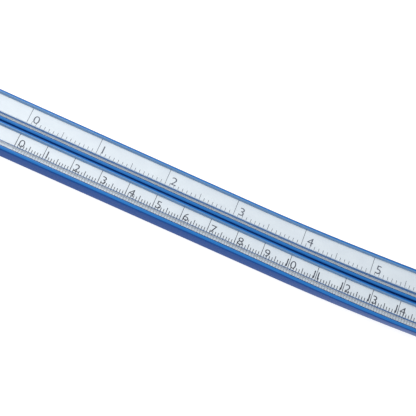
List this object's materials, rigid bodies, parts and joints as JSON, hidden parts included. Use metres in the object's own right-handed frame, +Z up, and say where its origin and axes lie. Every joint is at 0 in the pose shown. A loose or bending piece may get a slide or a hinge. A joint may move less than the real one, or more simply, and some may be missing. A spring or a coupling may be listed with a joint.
{
  "type": "flexible curve ruler",
  "caption": "Bendable drawing rule: a soft blue jacket on a lead core holds printed inch and centimetre strips under clear lips.",
  "frame": {"origin": "middle of the flat base under the third link, on the table, halfway between the two long edges", "axes": "+X along the scales towards the higher numbers, +Y towards the inch edge, +Z up out of the printed faces"},
  "size_m": [0.3449, 0.052, 0.0098],
  "materials": {
    "jacket": "soft glossy extruded vinyl",
    "clear_lip": "clear glossy extruded vinyl",
    "printed_strip": "satin printed film",
    "ink": "matte printing ink",
    "lead": "dull soft lead bar",
    "spring_steel": "rolled spring steel",
    "end_cap": "moulded plastic"
  },
  "bodies": {
    "link_1": {"jacket_1": "jacket", "inch_scale_1": "printed_strip", "cm_scale_1": "printed_strip", "lead_core_1": "lead", "spring_band_front_1": "spring_steel", "spring_band_back_1": "spring_steel", "end_cap_left": "end_cap"},
    "link_2": {"jacket_2": "jacket", "inch_scale_2": "printed_strip", "cm_scale_2": "printed_strip", "lead_core_2": "lead", "spring_band_front_2": "spring_steel", "spring_band_back_2": "spring_steel"},
    "link_3": {"jacket_3": "jacket", "inch_scale_3": "printed_strip", "cm_scale_3": "printed_strip", "lead_core_3": "lead", "spring_band_front_3": "spring_steel", "spring_band_back_3": "spring_steel"},
    "link_4": {"jacket_4": "jacket", "inch_scale_4": "printed_strip", "cm_scale_4": "printed_strip", "lead_core_4": "lead", "spring_band_front_4": "spring_steel", "spring_band_back_4": "spring_steel"},
    "link_5": {"jacket_5": "jacket", "inch_scale_5": "printed_strip", "cm_scale_5": "printed_strip", "lead_core_5": "lead", "spring_band_front_5": "spring_steel", "spring_band_back_5": "spring_steel"},
    "link_6": {"jacket_6": "jacket", "inch_scale_6": "printed_strip", "cm_scale_6": "printed_strip", "lead_core_6": "lead", "spring_band_front_6": "spring_steel", "spring_band_back_6": "spring_steel"},
    "link_7": {"jacket_7": "jacket", "inch_scale_7": "printed_strip", "cm_scale_7": "printed_strip", "lead_core_7": "lead", "spring_band_front_7": "spring_steel", "spring_band_back_7": "spring_steel"},
    "link_8": {"jacket_8": "jacket", "inch_scale_8": "printed_strip", "cm_scale_8": "printed_strip", "lead_core_8": "lead", "spring_band_front_8": "spring_steel", "spring_band_back_8": "spring_steel"},
    "link_9": {"jacket_9": "jacket", "inch_scale_9": "printed_strip", "cm_scale_9": "printed_strip", "lead_core_9": "lead", "spring_band_front_9": "spring_steel", "spring_band_back_9": "spring_steel", "end_cap_right": "end_cap"}
  },
  "joints": [
    {"name": "bend_1", "type": "hinge", "parent": "link_2", "child": "link_1", "pos_m": [-0.06, 0, 0], "axis": [0, 0, -1], "range_deg": [-20, 20]},
    {"name": "bend_2", "type": "hinge", "parent": "link_3", "child": "link_2", "pos_m": [-0.02, 0, 0], "axis": [0, 0, -1], "range_deg": [-20, 20]},
    {"name": "bend_3", "type": "hinge", "parent": "link_3", "child": "link_4", "pos_m": [0.02, 0.00002, 0], "axis": [0, 0, 1], "range_deg": [-21.68, 18.32]},
    {"name": "bend_4", "type": "hinge", "parent": "link_4", "child": "link_5", "pos_m": [0.05998, 0.00119, 0], "axis": [0, 0, 1], "range_deg": [-22.7, 17.3]},
    {"name": "bend_5", "type": "hinge", "parent": "link_5", "child": "link_6", "pos_m": [0.09986, 0.00425, 0], "axis": [0, 0, 1], "range_deg": [-22.7, 17.3]},
    {"name": "bend_6", "type": "hinge", "parent": "link_6", "child": "link_7", "pos_m": [0.13955, 0.00918, 0], "axis": [0, 0, 1], "range_deg": [-22.7, 17.3]},
    {"name": "bend_7", "type": "hinge", "parent": "link_7", "child": "link_8", "pos_m": [0.17897, 0.01596, 0], "axis": [0, 0, 1], "range_deg": [-22.7, 17.3]},
    {"name": "bend_8", "type": "hinge", "parent": "link_8", "child": "link_9", "pos_m": [0.21802, 0.0246, 0], "axis": [0, 0, 1], "range_deg": [-22.19, 17.81]}
  ]
}
